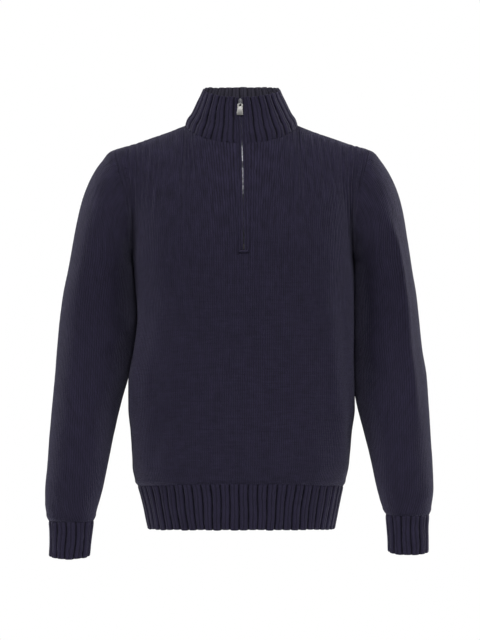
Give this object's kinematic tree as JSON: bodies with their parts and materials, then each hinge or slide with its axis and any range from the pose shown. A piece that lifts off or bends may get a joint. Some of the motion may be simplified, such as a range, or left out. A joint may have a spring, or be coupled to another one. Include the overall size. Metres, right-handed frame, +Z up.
{
  "type": "quarter-zip mock-neck sweater, worn shape",
  "caption": "Long-sleeved knitted sweater with a ribbed stand-up collar and a short front zip, hollow and filled out as worn with no wearer.",
  "frame": {"origin": "between the two high points of the shoulders, on the neck seam line, where a wearer's shoulders hold the garment up", "axes": "+Z up, the front faces -Y, +X is to the right as seen from the front"},
  "size_m": [0.6518, 0.244, 0.7994],
  "materials": {
    "knit": "plain knit wool, matt and slightly fuzzy, dark navy",
    "rib": "ribbed knit wool, matt, dark navy",
    "tape": "woven zip tape, matt black navy",
    "metal": "brushed nickel plated zinc, satin",
    "dark_metal": "gunmetal plated, satin"
  },
  "bodies": {
    "garment": {"front_panel": "knit", "back_panel": "knit", "sleeve_left": "knit", "sleeve_right": "knit", "collar": "rib", "hem_rib_front": "rib", "hem_rib_back": "rib", "cuff_left": "rib", "cuff_right": "rib", "edging_left": "rib", "edging_right": "rib", "edging_end": "rib", "zip_tape_left": "tape", "zip_tape_right": "tape", "zip_chain": "dark_metal", "zip_stop": "metal", "zip_slider": "dark_metal"},
    "zip_pull": {"zip_pull_tab": "metal"}
  },
  "joints": [
    {"name": "pull_tab_hinge", "type": "hinge", "parent": "garment", "child": "zip_pull", "pos_m": [-0.00221, -0.07472, 0.03039], "axis": [-0.9987, 0.0084, 0.0509], "range_deg": [0, 125]}
  ]
}
